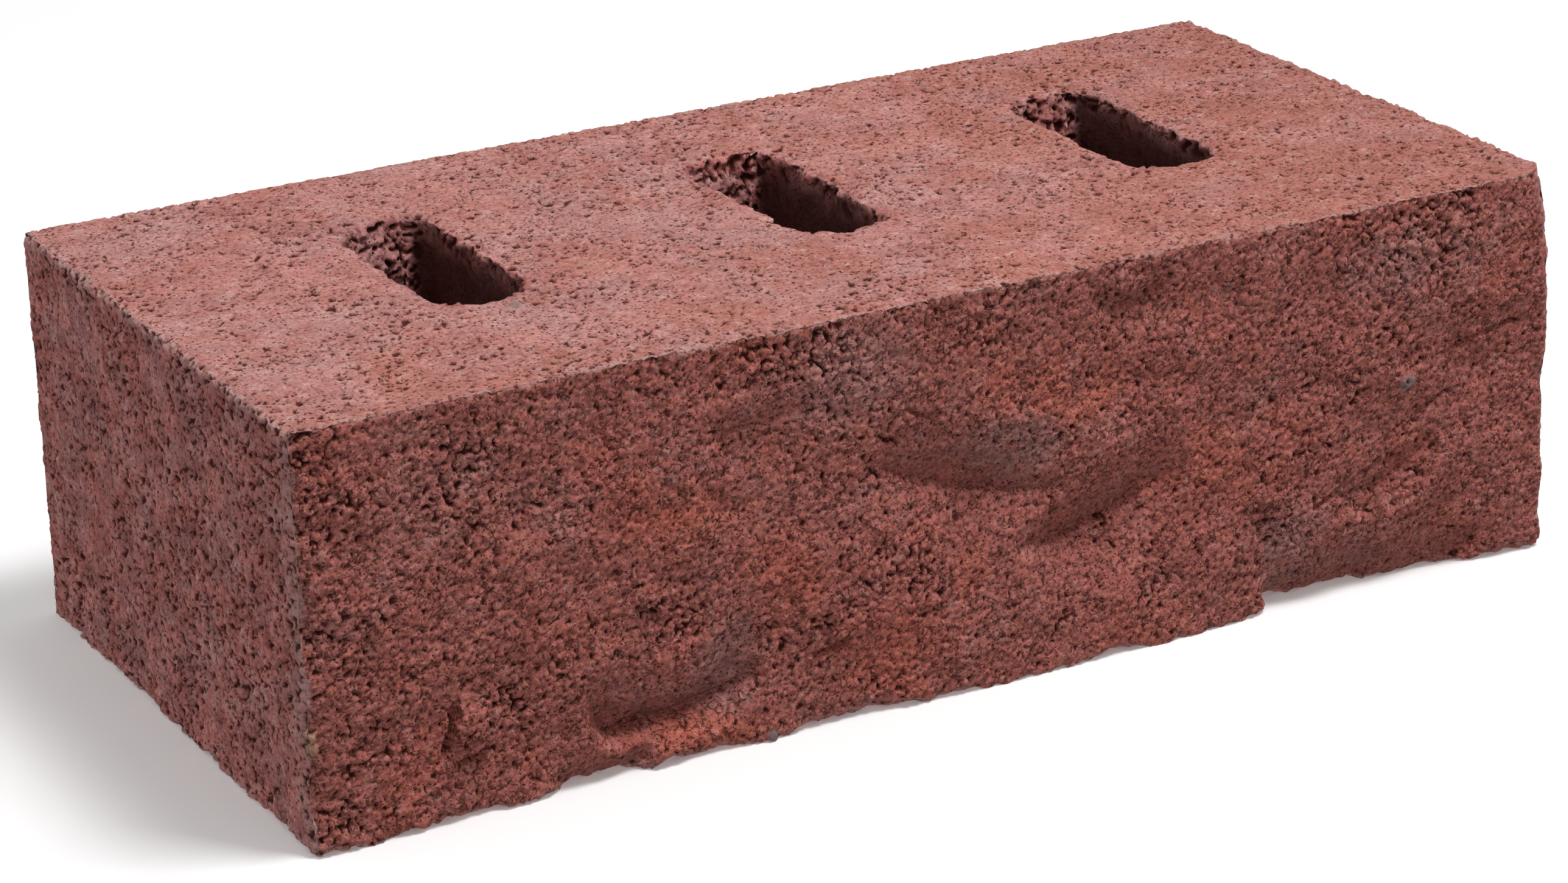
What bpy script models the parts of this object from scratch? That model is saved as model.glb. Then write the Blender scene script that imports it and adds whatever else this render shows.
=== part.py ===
"""Split-face facing brick: one pressed block with a rough split front and three core slots.

Metres, +Z up. The split face looks to -Y and the length runs along X.
The origin is the centre of the bottom bed's bounding rectangle.
"""

import math
from collections import namedtuple

import bmesh
import bpy

# Brick format
LENGTH = 0.240
WIDTH = 0.115
HEIGHT = 0.071

# Radii of the upright corners
BACK_LEFT_RADIUS = 0.0012
BACK_RIGHT_RADIUS = 0.0028
FRONT_LEFT_RADIUS = 0.0018
FRONT_RIGHT_RADIUS_LOW = 0.0022
FRONT_RIGHT_RADIUS_TOP = 0.0085
FRONT_RIGHT_WEAR_POWER = 6.0

# Worn edges round the two beds
BED_EDGE_INSET = 0.0006
BED_EDGE_HEIGHT = 0.0009

# Core slots, open through both beds and drawn in slightly towards the bottom bed
SLOT_COUNT = 3
SLOT_PITCH = 0.0675
SLOT_CENTRE_X = 0.0006
SLOT_CENTRE_Y = 0.0060
SLOT_WIDTH_TOP = 0.0180
SLOT_LENGTH_TOP = 0.0490
SLOT_DRAFT = 0.0014
SLOT_CORNER_RADIUS = 0.0050
SLOT_OVERRUN = 0.0050

# Mesh density
FRONT_STEPS = 75
HEIGHT_STEPS = 22
CORNER_STEPS = 5
SIDE_STEPS = 6
BACK_STEPS = 12

# Share of the broad waves that is left at the top bed, where the split follows the mould
TOP_EDGE_CALM = 0.35
CALM_BAND = 0.012

Wave = namedtuple("Wave", "height x_length z_length phase")
WAVES = (
    Wave(height=0.00050, x_length=0.118, z_length=0.160, phase=0.6),
    Wave(height=0.00035, x_length=0.047, z_length=-0.075, phase=2.1),
    Wave(height=0.00025, x_length=0.071, z_length=0.033, phase=4.4),
    Wave(height=0.00015, x_length=-0.029, z_length=0.058, phase=1.2),
)

# Conchoidal hollows of the split: each deepens downwards to a curved line and comes back out below it.
# The higher ends is, the more abruptly a hollow stops at its two sides.
Hollow = namedtuple("Hollow", "x line_z half_width rise below depth tilt_deg ends")
HOLLOWS = (
    Hollow(0.0000, 0.0345, 0.0200, 0.0140, 0.0170, 0.0054, -16.0, 2.0),
    Hollow(0.0270, 0.0235, 0.0190, 0.0130, 0.0150, 0.0058, 16.0, 2.0),
    Hollow(-0.0540, 0.0065, 0.0170, 0.0130, 0.0050, 0.0072, 4.0, 4.0),
    Hollow(-0.0380, 0.0545, 0.0105, 0.0060, 0.0120, 0.0022, 14.0, 2.0),
    Hollow(-0.0450, 0.0420, 0.0080, 0.0070, 0.0090, 0.0014, -8.0, 2.0),
    Hollow(0.0330, 0.0620, 0.0070, 0.0050, 0.0080, 0.0028, 8.0, 2.0),
    Hollow(0.0735, -0.0030, 0.0145, 0.0170, 0.0060, 0.0090, 5.0, 3.0),
    Hollow(0.0840, -0.0030, 0.0270, 0.0200, 0.0060, 0.0060, 5.0, 2.0),
    Hollow(-0.0680, -0.0015, 0.0100, 0.0090, 0.0060, 0.0055, 6.0, 2.0),
    Hollow(0.0860, 0.0200, 0.0125, 0.0060, 0.0090, 0.0026, 13.0, 2.0),
    Hollow(-0.0990, -0.0045, 0.0120, 0.0080, 0.0060, 0.0034, -4.0, 2.0),
)
LINE_BEND = 0.38
BELOW_START = 0.4
RISE_POWER = 1.4

BRICK_COLOUR = (0.36, 0.135, 0.11, 1.0)
BRICK_ROUGHNESS = 0.95


def clear_scene():
    for old in list(bpy.data.objects):
        bpy.data.objects.remove(old, do_unlink=True)


def new_collection(name, hidden=False):
    collection = bpy.data.collections.new(name)
    collection.hide_render = hidden
    bpy.context.scene.collection.children.link(collection)
    return collection


def smooth_step(value):
    value = min(1.0, max(0.0, value))
    return value * value * (3.0 - 2.0 * value)


def wave_depth(x, z):
    """Broad unevenness of the split face, which calms down towards the top edge."""
    total = 0.0
    for wave in WAVES:
        angle = 2.0 * math.pi * (x / wave.x_length + z / wave.z_length) + wave.phase
        total += wave.height * math.sin(angle)
    calm = smooth_step((HEIGHT - z) / CALM_BAND)
    return total * (TOP_EDGE_CALM + (1.0 - TOP_EDGE_CALM) * calm)


def hollow_depth(hollow, x, z):
    """Depth that one hollow takes from the split face at a point of it."""
    tilt = math.radians(hollow.tilt_deg)
    along = (x - hollow.x) * math.cos(tilt) + (z - hollow.line_z) * math.sin(tilt)
    up = (z - hollow.line_z) * math.cos(tilt) - (x - hollow.x) * math.sin(tilt)
    across = abs(along / hollow.half_width)
    if across >= 1.0:
        return 0.0
    up -= LINE_BEND * hollow.rise * across * across
    if up >= 0.0:
        profile = max(0.0, 1.0 - up / hollow.rise) ** RISE_POWER
    else:
        profile = rest_below(-up / hollow.below) / rest_below(0.0)
    return hollow.depth * profile * (1.0 - across**hollow.ends)


def rest_below(share):
    """How much of a hollow is left below its line, part of the way to where it ends."""
    return 1.0 - smooth_step((share + BELOW_START) / (1.0 + BELOW_START))


def split_depth(x, z):
    """Inward offset of the split face at a point of it, before it is set to start at zero."""
    deepest = max(hollow_depth(hollow, x, z) for hollow in HOLLOWS)
    return wave_depth(x, z) + deepest


def front_right_radius(z):
    wear = (z / HEIGHT) ** FRONT_RIGHT_WEAR_POWER
    return FRONT_RIGHT_RADIUS_LOW + (FRONT_RIGHT_RADIUS_TOP - FRONT_RIGHT_RADIUS_LOW) * wear


def corner_arc(centre, radius, start_deg, steps):
    """Points of a quarter circle, anticlockwise from start_deg, both ends included."""
    points = []
    for step in range(steps + 1):
        angle = math.radians(start_deg + 90.0 * step / steps)
        points.append((centre[0] + radius * math.cos(angle), centre[1] + radius * math.sin(angle)))
    return points


def between(first, last, steps):
    """Points strictly between two ends."""
    points = []
    for step in range(1, steps):
        share = step / steps
        x = first[0] + (last[0] - first[0]) * share
        y = first[1] + (last[1] - first[1]) * share
        points.append((x, y))
    return points


def rounded_outline(half_x, half_y, radii, inset, steps):
    """Anticlockwise outline of a rectangle with a radius of its own at each corner.

    radii: front left, front right, back right, back left. steps: corner, front, side, back.
    """
    corner_steps, front_steps, side_steps, back_steps = steps
    front_left, front_right, back_right, back_left = radii
    arcs = (
        ((-half_x + front_left, -half_y + front_left), front_left - inset, 180.0),
        ((half_x - front_right, -half_y + front_right), front_right - inset, 270.0),
        ((half_x - back_right, half_y - back_right), back_right - inset, 0.0),
        ((-half_x + back_left, half_y - back_left), back_left - inset, 90.0),
    )
    runs = (front_steps, side_steps, back_steps, side_steps)
    corners = [corner_arc(centre, radius, start, corner_steps) for centre, radius, start in arcs]
    outline = []
    for index, corner in enumerate(corners):
        following = corners[(index + 1) % len(corners)]
        outline.extend(corner)
        outline.extend(between(corner[-1], following[0], runs[index]))
    return outline


def ring_levels():
    """Heights and insets of the rings, from the bottom bed to the top bed."""
    levels = [(0.0, BED_EDGE_INSET)]
    low = BED_EDGE_HEIGHT
    high = HEIGHT - BED_EDGE_HEIGHT
    for step in range(HEIGHT_STEPS + 1):
        levels.append((low + (high - low) * step / HEIGHT_STEPS, 0.0))
    levels.append((HEIGHT, BED_EDGE_INSET))
    return levels


def split_rings():
    """Rings of the block, with the split face's relief pressed into their front."""
    steps = (CORNER_STEPS, FRONT_STEPS, SIDE_STEPS, BACK_STEPS)
    rings = []
    for z, inset in ring_levels():
        radii = (FRONT_LEFT_RADIUS, front_right_radius(z), BACK_RIGHT_RADIUS, BACK_LEFT_RADIUS)
        outline = rounded_outline(LENGTH / 2.0, WIDTH / 2.0, radii, inset, steps)
        rings.append([(x, y, z) for x, y in outline])
    front_count = 2 * (CORNER_STEPS + 1) + FRONT_STEPS - 1
    depths = [[split_depth(x, z) for x, y, z in ring[:front_count]] for ring in rings]
    shallowest = min(min(row) for row in depths)
    shaped = []
    for ring, row in zip(rings, depths):
        moved = []
        for index, (x, y, z) in enumerate(ring):
            if index < front_count:
                y += (row[index] - shallowest) * front_share(index)
            moved.append((x, y, z))
        shaped.append(moved)
    return shaped


def front_share(index):
    """Share of the relief on a ring's front vertex: all of it between the corners, none at the ends."""
    last = 2 * (CORNER_STEPS + 1) + FRONT_STEPS - 2
    from_end = min(index, last - index)
    return math.sin(0.5 * math.pi * min(1.0, from_end / CORNER_STEPS))


def loft(rings, name, collection):
    """Closed body through rings of equal length, capped with one face at each end."""
    mesh = bpy.data.meshes.new(name)
    body = bmesh.new()
    rows = [[body.verts.new(point) for point in ring] for ring in rings]
    for lower, upper in zip(rows, rows[1:]):
        count = len(lower)
        for index in range(count):
            after = (index + 1) % count
            body.faces.new((lower[index], lower[after], upper[after], upper[index]))
    body.faces.new(tuple(reversed(rows[0])))
    body.faces.new(tuple(rows[-1]))
    body.normal_update()
    body.to_mesh(mesh)
    body.free()
    made = bpy.data.objects.new(name, mesh)
    collection.objects.link(made)
    return made


def slot_ring(centre_x, z):
    """Outline of one slot at a height, narrower towards the bottom bed."""
    drawn_in = SLOT_DRAFT * (HEIGHT - z) / HEIGHT
    half_x = (SLOT_WIDTH_TOP - drawn_in) / 2.0
    half_y = (SLOT_LENGTH_TOP - drawn_in) / 2.0
    radii = (SLOT_CORNER_RADIUS,) * 4
    outline = rounded_outline(half_x, half_y, radii, 0.0, (CORNER_STEPS, 1, 1, 1))
    return [(centre_x + x, SLOT_CENTRE_Y + y, z) for x, y in outline]


def add_slots(brick, collection):
    for index in range(SLOT_COUNT):
        centre_x = SLOT_CENTRE_X + SLOT_PITCH * (index - (SLOT_COUNT - 1) / 2.0)
        rings = [slot_ring(centre_x, -SLOT_OVERRUN), slot_ring(centre_x, HEIGHT + SLOT_OVERRUN)]
        cutter = loft(rings, f"slot_cutter_{index + 1}", collection)
        cutter.hide_render = True
        cutter.display_type = "WIRE"
        cut = brick.modifiers.new(f"slot_{index + 1}", "BOOLEAN")
        cut.operation = "DIFFERENCE"
        cut.solver = "EXACT"
        cut.object = cutter


def add_material(brick):
    material = bpy.data.materials.new("pressed_brick")
    material.use_nodes = True
    surface = material.node_tree.nodes["Principled BSDF"]
    surface.inputs["Base Color"].default_value = BRICK_COLOUR
    surface.inputs["Roughness"].default_value = BRICK_ROUGHNESS
    brick.data.materials.append(material)


def main():
    clear_scene()
    parts = new_collection("split_face_brick")
    cutters = new_collection("cutters", hidden=True)
    brick = loft(split_rings(), "brick", parts)
    add_material(brick)
    add_slots(brick, cutters)


main()
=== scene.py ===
"""Looks of the split-face facing brick: a dense closed skin with grains, pits and worn edges."""

import itertools
import math
from collections import namedtuple

import bmesh
import bpy
import numpy as np
from mathutils import Matrix, Vector


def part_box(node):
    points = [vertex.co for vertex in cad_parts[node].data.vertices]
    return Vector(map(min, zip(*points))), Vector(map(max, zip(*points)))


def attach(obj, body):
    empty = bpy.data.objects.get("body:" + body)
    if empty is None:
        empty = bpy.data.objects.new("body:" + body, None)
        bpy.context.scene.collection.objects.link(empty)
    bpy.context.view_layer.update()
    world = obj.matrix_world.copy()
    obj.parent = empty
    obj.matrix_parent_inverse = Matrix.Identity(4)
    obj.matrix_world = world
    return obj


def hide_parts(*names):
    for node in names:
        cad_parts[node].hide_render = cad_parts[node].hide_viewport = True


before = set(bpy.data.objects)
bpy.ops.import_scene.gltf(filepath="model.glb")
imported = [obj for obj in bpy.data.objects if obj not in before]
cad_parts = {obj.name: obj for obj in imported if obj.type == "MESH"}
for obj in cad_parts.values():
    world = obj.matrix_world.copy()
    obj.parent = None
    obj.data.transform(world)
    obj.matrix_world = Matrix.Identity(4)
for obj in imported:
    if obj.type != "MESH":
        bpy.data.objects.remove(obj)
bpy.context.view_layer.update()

MM = 0.001

# Brick format, from the CAD node
LOW, HIGH = (np.array(corner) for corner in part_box("brick"))
LENGTH = HIGH[0] - LOW[0]
HEIGHT = HIGH[2] - LOW[2]

# Core slots
SLOT_CENTRES_X = (-66.9 * MM, 0.6 * MM, 68.1 * MM)
SLOT_CENTRE_Y = 6.0 * MM
SLOT_WIDTH = 18.0 * MM
SLOT_LENGTH = 48.4 * MM
SLOT_CORNER = 5.0 * MM
# Mix left standing in each slot's corners: back left, front left, front right
SLOT_FILLS = ((2.6 * MM, 2.6 * MM, 1.6 * MM), (1.3 * MM, 2.4 * MM, 0.5 * MM), (1.2 * MM, 1.8 * MM, 0.4 * MM))
SLOT_FILL_REACH = 10.0 * MM
# How far the walls wander, how far the back end stands into the slot below its rim, and how near to a
# wall a point of the even skin counts as on it
WALL_WANDER = 1.5 * MM
BACK_LEDGE = 2.4 * MM
SNAP_TO_WALL = 0.6 * MM

# Upright corner radii
FRONT_LEFT_RADIUS = 1.8 * MM
FRONT_RIGHT_LOW = 2.2 * MM
FRONT_RIGHT_TOP = 8.5 * MM
FRONT_RIGHT_POWER = 6.0
BACK_RIGHT_RADIUS = 2.8 * MM
BACK_LEFT_RADIUS = 1.4 * MM

# Skin resolution: even quads, halved once on the outer faces and once more on the most detailed ones
VOXEL = 1.3 * MM
CELL = 0.2 * MM
MARGIN = 4.0 * MM
FACE_BAND = 1.5 * MM
WALL_BAND = 1.0 * MM
WALL_SEEN_DOWN_TO = 30.0 * MM

# Layout of the baked texture, in mm: (axis, high end?, corner) of each outer face, and for the walls
# across X and across Y the corner of the first one in each of their two rows, and their spacing
BAKE_SIDE = 428.0 * MM
BAKE_EDGE = 0.004
BAKE_ISLANDS = (
    (2, True, (0.0, 0.0)),
    (2, False, (0.0, 118.0)),
    (1, False, (0.0, 236.0)),
    (1, True, (0.0, 310.0)),
    (0, False, (243.0, 0.0)),
    (0, True, (243.0, 118.0)),
)
BAKE_WALLS = (((243.0, (236.0, 310.0)), 51.5), ((361.0, (0.0, 118.0)), 21.0))

# Camera, as fitted to the object's edges
LENS = 102.7
SENSOR = 36.0
AZIMUTH, ELEVATION, ROLL = -28.63, 21.14, -1.38
DISTANCE = 0.785
AIM_RIGHT, AIM_UP = -2.9 * MM, -8.6 * MM

# Studio light: a soft key high in front and to the right, and a dim surround
KEY_PLACE = (0.28, -0.31, 1.18)
KEY_TARGET = (0.0, 0.0, 0.03)
KEY_SIZE = 0.35
KEY_POWER = 9.9
SKY_LOW, SKY_HIGH = 0.41, 0.54
WHITE = (1.0, 1.0, 1.0, 1.0)
FLOOR_HALF_SIDE = 2.5
FLOOR_THICKNESS = 0.02
FLOOR_GLOW = 0.12

HASH_PRIMES = (0x8DA6B343, 0xD8163841, 0xCB1AB31F)


# ---------------------------------------------------------------- noise


def hashed(cells, seed):
    """Repeatable random numbers from 0 to 1 for whole-number cells."""
    mixed = np.full(cells[0].shape, (seed * 0x9E3779B1 + 0x7F4A7C15) % 2**32, np.uint32)
    for cell, prime in zip(cells, HASH_PRIMES):
        mixed ^= cell.astype(np.int64).astype(np.uint32) * np.uint32(prime)
        mixed ^= mixed >> np.uint32(15)
        mixed *= np.uint32(0x2C1B3C6D)
        mixed ^= mixed >> np.uint32(12)
        mixed *= np.uint32(0x297A2D39)
        mixed ^= mixed >> np.uint32(15)
    return mixed.astype(np.float64) / 2**32


def noise(points, size, seed):
    """Smooth noise from -1 to 1 at points, given as one array for each axis."""
    scaled = [axis / size for axis in points]
    cells = [np.floor(axis) for axis in scaled]
    parts = [axis - cell for axis, cell in zip(scaled, cells)]
    parts = [part * part * (3.0 - 2.0 * part) for part in parts]
    total = 0.0
    for corner in itertools.product((0, 1), repeat=len(points)):
        weight = 1.0
        for part, on_high_side in zip(parts, corner):
            weight = weight * (part if on_high_side else 1.0 - part)
        total = total + weight * hashed([cell + offset for cell, offset in zip(cells, corner)], seed)
    return 2.0 * total - 1.0


def layered(points, size, seed, octaves=3, gain=0.5):
    """Several octaves of noise, each turned against the last so that no grid shows."""
    total, weight, reach = 0.0, 1.0, 0.0
    for octave in range(octaves):
        total = total + weight * noise(points, size, seed + octave)
        reach += weight
        weight *= gain
        size *= 0.53
        turn = 0.6 + octave
        first = points[0] * math.cos(turn) - points[1] * math.sin(turn)
        second = points[0] * math.sin(turn) + points[1] * math.cos(turn)
        points = [first, second, *points[2:]]
    return total / reach


def step(value, low, high):
    """Smooth rise from 0 at low to 1 at high."""
    share = np.clip((value - low) / (high - low), 0.0, 1.0)
    return share * share * (3.0 - 2.0 * share)


# ---------------------------------------------------------------- height maps of the faces


class Sheet:
    """A height map over a rectangle of one face, in metres, with a margin all round."""

    def __init__(self, low, high):
        self.low = np.array(low) - MARGIN
        self.shape = tuple(int(math.ceil(n)) for n in (np.array(high) + MARGIN - self.low) / CELL)
        across = self.low[0] + CELL * np.arange(self.shape[0])
        up = self.low[1] + CELL * np.arange(self.shape[1])
        self.u, self.v = np.meshgrid(across, up, indexing="ij")

    def sample(self, values, u, v):
        """Values of a map at points, between its cells."""
        i = np.clip((u - self.low[0]) / CELL, 0, self.shape[0] - 1.001)
        j = np.clip((v - self.low[1]) / CELL, 0, self.shape[1] - 1.001)
        i0, j0 = i.astype(int), j.astype(int)
        fi, fj = i - i0, j - j0
        near = values[i0, j0] * (1 - fj) + values[i0, j0 + 1] * fj
        far = values[i0 + 1, j0] * (1 - fj) + values[i0 + 1, j0 + 1] * fj
        return near * (1 - fi) + far * fi

    def bent(self, amount, size, seed):
        """Cell positions pushed about by noise, so that round shapes turn irregular."""
        places = [self.u, self.v]
        du = layered(places, size, seed, 2) * amount
        dv = layered(places, size, seed + 7, 2) * amount
        return self.u + du, self.v + dv

    def blurred(self, values, radius):
        """Gaussian blur of a map."""
        fu = np.fft.fftfreq(self.shape[0])[:, None]
        fv = np.fft.rfftfreq(self.shape[1])[None, :]
        sigma = radius / CELL
        falloff = np.exp(-2.0 * (math.pi * sigma) ** 2 * (fu**2 + fv**2))
        return np.fft.irfft2(np.fft.rfft2(values) * falloff, s=self.shape)

    def grains(self, layers, floor, seed, sharp=0.5, tilt=0.0):
        """Heights of overlapping grains with tilted tops, small ones more often than large.

        Each layer is (coverage, smallest radius, largest radius, lowest top, highest top).
        """
        rng = np.random.default_rng(seed)
        field = np.full(self.shape, floor)
        area = self.shape[0] * self.shape[1] * CELL**2
        for coverage, r_low, r_high, top_low, top_high in layers:
            r_range = r_high - r_low
            mean_area = 0.8 * math.pi * (r_low**2 + 2.0 * r_low * r_range / 3.0 + r_range**2 / 5.0)
            count = int(coverage * area / mean_area)
            radius = r_low + r_range * rng.uniform(0.0, 1.0, count) ** 2
            flat = rng.uniform(0.6, 1.0, count)
            turn = rng.uniform(0.0, 2.0 * math.pi, count)
            top = rng.uniform(top_low, top_high, count)
            slant = rng.uniform(0.0, tilt, count) * radius
            at = rng.uniform(0.0, 1.0, (count, 2)) * self.shape
            reach = np.ceil(radius / CELL).astype(int)
            cos, sin = np.cos(turn), np.sin(turn)
            for n in range(count):
                i0, i1 = max(0, int(at[n, 0]) - reach[n]), min(self.shape[0], int(at[n, 0]) + reach[n] + 2)
                j0, j1 = max(0, int(at[n, 1]) - reach[n]), min(self.shape[1], int(at[n, 1]) + reach[n] + 2)
                di = (np.arange(i0, i1) - at[n, 0])[:, None] * (CELL / radius[n])
                dj = (np.arange(j0, j1) - at[n, 1])[None, :] * (CELL / radius[n])
                along = di * cos[n] + dj * sin[n]
                across = (dj * cos[n] - di * sin[n]) / flat[n]
                inside = np.clip(1.0 - along**2 - across**2, 0.0, 1.0)
                dome = top[n] - radius[n] * (1.0 - inside**sharp) + slant[n] * along
                dome[inside <= 0.0] = floor
                window = field[i0:i1, j0:j1]
                np.maximum(window, dome, out=window)
        return field


def cavity_shade_of(sheet, height, radius, full):
    """Painted shade: from 0 on open ground to 1 in holes and crevices that are at least full deep."""
    return np.clip((sheet.blurred(height, radius) - height) / full, 0.0, 1.0)


# Hollows of the split face, in mm: each deepens downwards to a curved line and comes back out below it.
# The higher ends is, the more abruptly a hollow stops at its two sides.
Hollow = namedtuple("Hollow", "x line_z half_width rise below depth tilt_deg ends")
HOLLOWS = (
    Hollow(x=0.0, line_z=34.5, half_width=20.0, rise=14.0, below=17.0, depth=5.4, tilt_deg=-16.0, ends=2),
    Hollow(x=27.0, line_z=23.5, half_width=19.0, rise=13.0, below=15.0, depth=5.8, tilt_deg=16.0, ends=2),
    Hollow(x=-54.0, line_z=6.5, half_width=17.0, rise=13.0, below=5.0, depth=7.2, tilt_deg=4.0, ends=4),
    Hollow(x=-38.0, line_z=54.5, half_width=10.5, rise=6.0, below=12.0, depth=2.2, tilt_deg=14.0, ends=2),
    Hollow(x=-45.0, line_z=42.0, half_width=8.0, rise=7.0, below=9.0, depth=1.4, tilt_deg=-8.0, ends=2),
    Hollow(x=33.0, line_z=62.0, half_width=7.0, rise=5.0, below=8.0, depth=2.8, tilt_deg=8.0, ends=2),
    Hollow(x=73.5, line_z=-3.0, half_width=14.5, rise=17.0, below=6.0, depth=9.0, tilt_deg=5.0, ends=3),
    Hollow(x=84.0, line_z=-3.0, half_width=27.0, rise=20.0, below=6.0, depth=6.0, tilt_deg=5.0, ends=2),
    Hollow(x=-68.0, line_z=-1.5, half_width=10.0, rise=9.0, below=6.0, depth=5.5, tilt_deg=6.0, ends=2),
    Hollow(x=86.0, line_z=20.0, half_width=12.5, rise=6.0, below=9.0, depth=2.6, tilt_deg=13.0, ends=2),
    Hollow(x=-99.0, line_z=-4.5, half_width=12.0, rise=8.0, below=6.0, depth=3.4, tilt_deg=-4.0, ends=2),
)
LINE_BEND = 0.38
RISE_POWER = 1.4
BELOW_START = 0.4
# A hollow's line is crisp: this share of its depth comes back within this height below it
NICK_HEIGHT = 0.9 * MM
NICK_SHARE = 0.34

# Single crevices and lumps of the split face, in mm, and where it is redder, greyer or looser
Crevice = namedtuple("Crevice", "x z end_x end_z half_width depth")
CREVICES = (
    Crevice(x=-96.5, z=11.5, end_x=-94.5, end_z=19.0, half_width=1.3, depth=2.2),
    Crevice(x=-93.5, z=10.0, end_x=-88.5, end_z=11.0, half_width=0.9, depth=1.6),
    Crevice(x=99.0, z=42.0, end_x=113.0, end_z=44.0, half_width=0.8, depth=1.5),
    Crevice(x=29.0, z=62.5, end_x=37.5, end_z=65.0, half_width=1.1, depth=1.8),
    Crevice(x=71.0, z=19.0, end_x=88.0, end_z=24.0, half_width=0.9, depth=1.6),
    Crevice(x=-29.0, z=12.5, end_x=-23.5, end_z=14.0, half_width=1.2, depth=1.8),
    Crevice(x=-12.0, z=53.0, end_x=-6.0, end_z=50.0, half_width=0.9, depth=1.4),
    Crevice(x=92.0, z=31.0, end_x=99.0, end_z=33.5, half_width=0.8, depth=1.3),
)
Spot = namedtuple("Spot", "x z half_width half_height amount")
LUMPS = (
    Spot(x=-91.5, z=15.5, half_width=3.4, half_height=4.4, amount=1.9),
    Spot(x=102.0, z=9.0, half_width=5.0, half_height=3.2, amount=1.3),
    Spot(x=88.0, z=38.0, half_width=2.2, half_height=2.0, amount=0.9),
    Spot(x=-60.0, z=30.0, half_width=2.6, half_height=2.2, amount=0.8),
    Spot(x=12.0, z=12.0, half_width=3.0, half_height=2.4, amount=0.7),
)
RED_AREAS = (
    Spot(x=-57.0, z=43.5, half_width=11.0, half_height=6.0, amount=0.75),
    Spot(x=-34.0, z=28.0, half_width=7.0, half_height=8.0, amount=0.7),
    Spot(x=19.0, z=50.0, half_width=15.0, half_height=8.0, amount=0.75),
    Spot(x=-15.0, z=12.0, half_width=12.0, half_height=7.5, amount=0.65),
    Spot(x=-50.5, z=3.5, half_width=14.0, half_height=3.6, amount=1.0),
    Spot(x=56.0, z=27.0, half_width=14.0, half_height=7.0, amount=0.45),
)
GREY_AREAS = (
    Spot(x=-22.0, z=60.0, half_width=12.0, half_height=10.0, amount=0.8),
    Spot(x=9.0, z=43.0, half_width=11.0, half_height=5.0, amount=0.9),
    Spot(x=-45.0, z=15.0, half_width=7.0, half_height=9.0, amount=0.75),
    Spot(x=66.0, z=12.0, half_width=7.0, half_height=8.0, amount=0.6),
    Spot(x=88.0, z=60.0, half_width=15.0, half_height=7.0, amount=0.6),
    Spot(x=-100.0, z=55.0, half_width=14.0, half_height=10.0, amount=0.4),
)
LOOSE_AREAS = (
    Spot(x=-90.0, z=58.0, half_width=7.0, half_height=7.0, amount=0.45),
    Spot(x=-78.0, z=48.0, half_width=5.0, half_height=5.0, amount=0.35),
    Spot(x=-35.0, z=64.0, half_width=11.0, half_height=6.0, amount=0.6),
    Spot(x=-55.0, z=27.0, half_width=9.0, half_height=7.0, amount=0.45),
    Spot(x=-88.0, z=13.0, half_width=9.0, half_height=9.0, amount=0.45),
    Spot(x=-10.0, z=23.0, half_width=10.0, half_height=7.0, amount=0.4),
    Spot(x=-14.0, z=45.0, half_width=8.0, half_height=8.0, amount=0.45),
    Spot(x=88.0, z=62.0, half_width=14.0, half_height=7.0, amount=0.5),
    Spot(x=60.0, z=12.0, half_width=7.0, half_height=8.0, amount=0.35),
    Spot(x=105.0, z=45.0, half_width=8.0, half_height=10.0, amount=0.35),
    Spot(x=20.0, z=8.0, half_width=14.0, half_height=6.0, amount=0.3),
)

# Stones of the mix that show in the skin, with half sizes along the axes, and how far they stand out
Stone = namedtuple("Stone", "x y z size")
TAN_STONES = (Stone(x=-119.4, y=-57.0, z=19.5, size=(1.4, 1.5, 2.6)),)
GREY_STONES = (
    Stone(x=-38.0, y=-57.0, z=1.0, size=(1.3, 2.0, 1.1)),
    Stone(x=-65.0, y=-23.0, z=71.0, size=(1.3, 1.1, 1.0)),
    Stone(x=88.0, y=-57.5, z=38.0, size=(1.6, 3.0, 1.3)),
)
STONE_RISE = 0.5 * MM

# Broad swells of the split face, which calm down towards the mould's top edge, and its mean set-back
Swell = namedtuple("Swell", "size seed octaves height")
SWELLS = (
    Swell(size=38.0 * MM, seed=3, octaves=2, height=1.0 * MM),
    Swell(size=10.0 * MM, seed=11, octaves=3, height=1.2 * MM),
)
TOP_EDGE_CALM = 0.35
CALM_BAND = 12.0 * MM
SPLIT_SETBACK = 0.45 * MM

# How far behind the split face its broad shape still presses the block
FRONT_REACH = 34.0 * MM

# How far grains swell sideways over the crevices between them
BULGE = 0.2 * MM

DEEPEST_PIT = 1.1 * MM
SHARPEST_EDGE = 0.25 * MM
ROUNDEST_RIM = 3.0 * MM


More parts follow.
